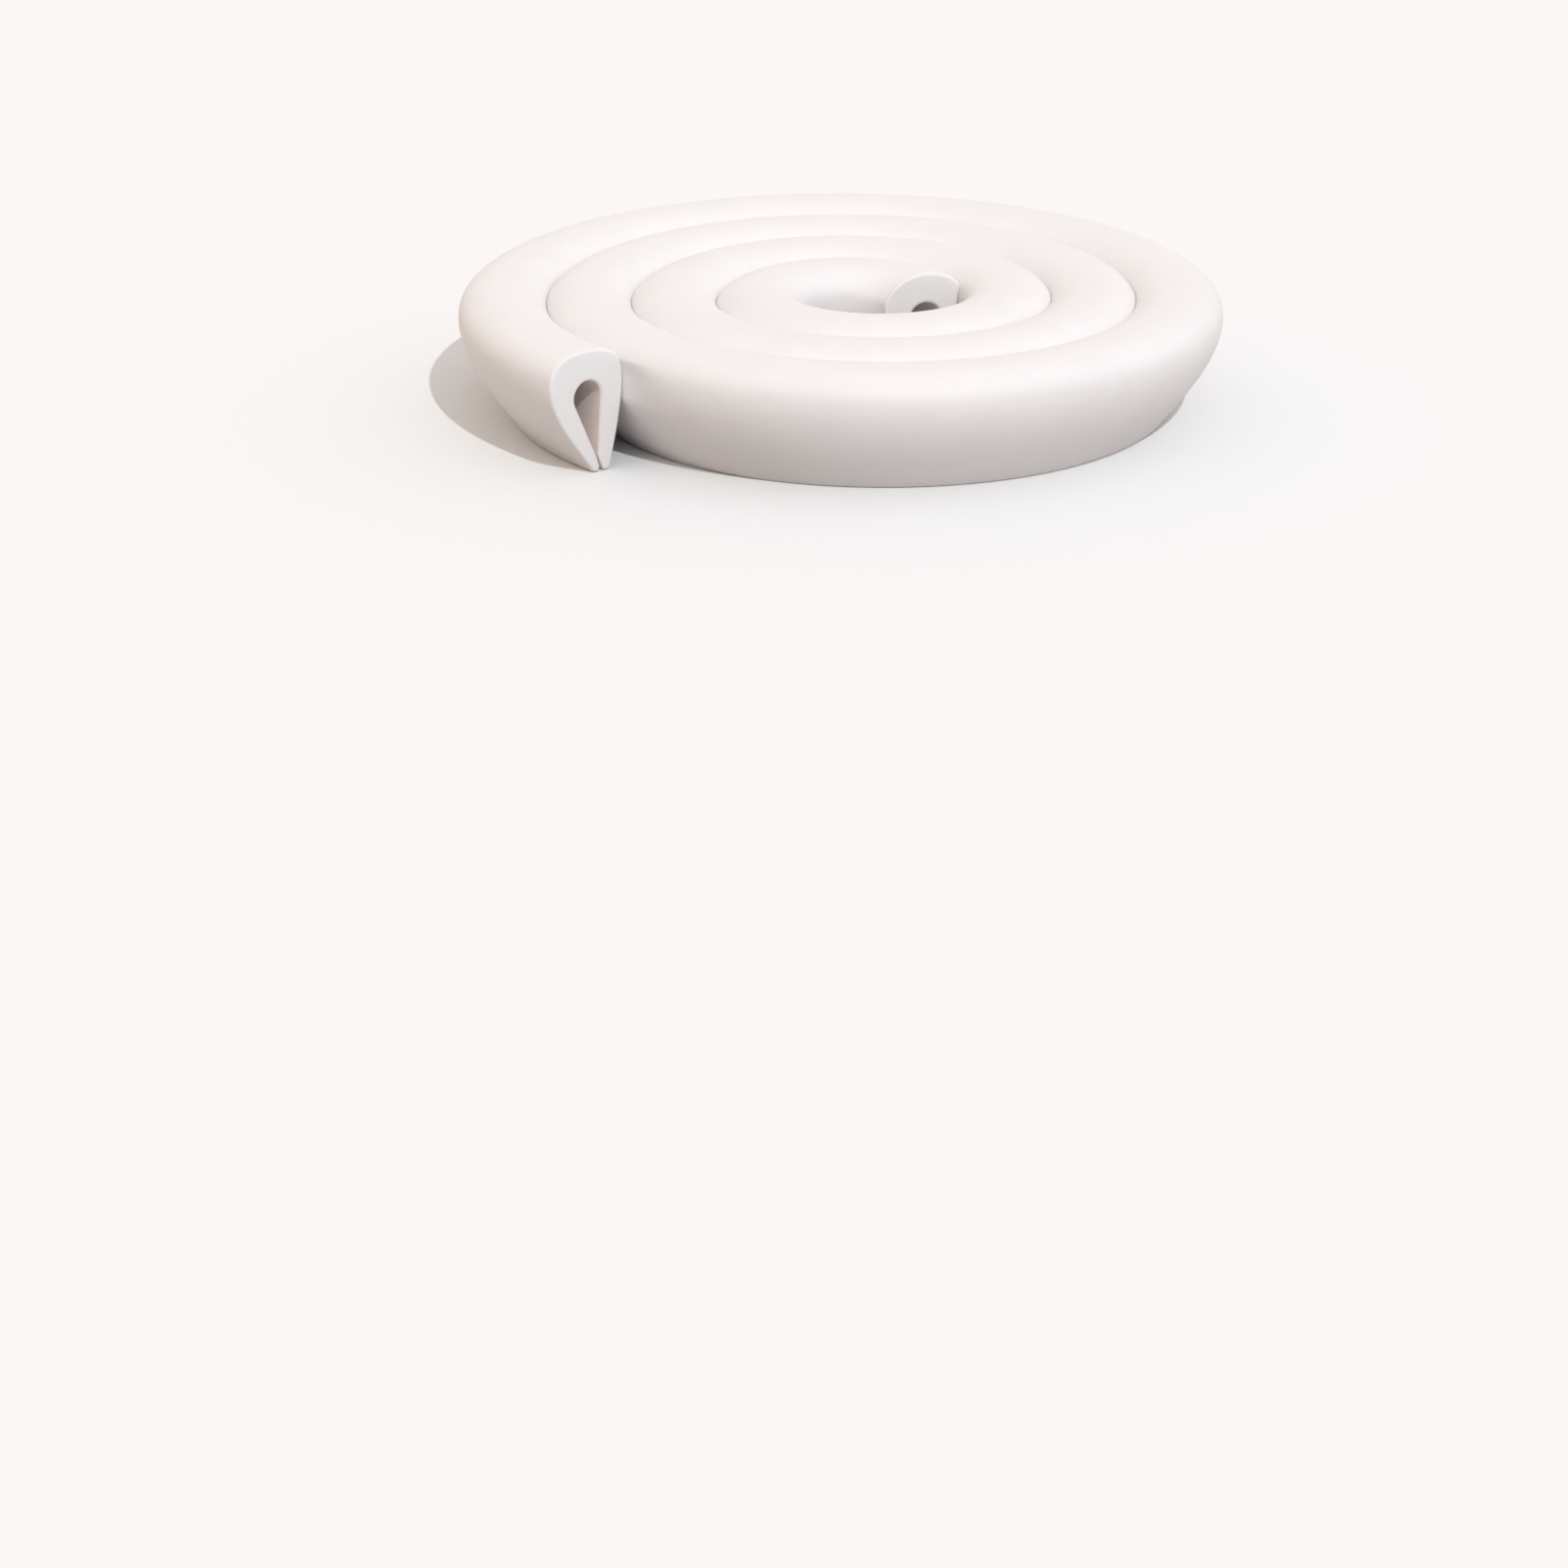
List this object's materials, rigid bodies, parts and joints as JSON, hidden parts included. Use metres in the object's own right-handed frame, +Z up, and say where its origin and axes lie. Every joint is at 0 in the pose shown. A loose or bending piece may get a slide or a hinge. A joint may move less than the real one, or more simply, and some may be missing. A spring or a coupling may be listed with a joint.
{
  "type": "foam edge protector strip",
  "caption": "Soft white foam strip with a slotted, pinched U section, wound crown up into a flat spiral coil.",
  "frame": {"origin": "On the surface that the coil lies on, under the middle of its bounding box.", "axes": "+Z up through the coil, from the leg tips to the crown. The outer cut end is on the -X side and its cut face looks along -Y."},
  "size_m": [0.32, 0.3026, 0.0515],
  "materials": {
    "foam": "matte"
  },
  "bodies": {
    "root": {"foam_strip": "foam"}
  },
  "joints": []
}
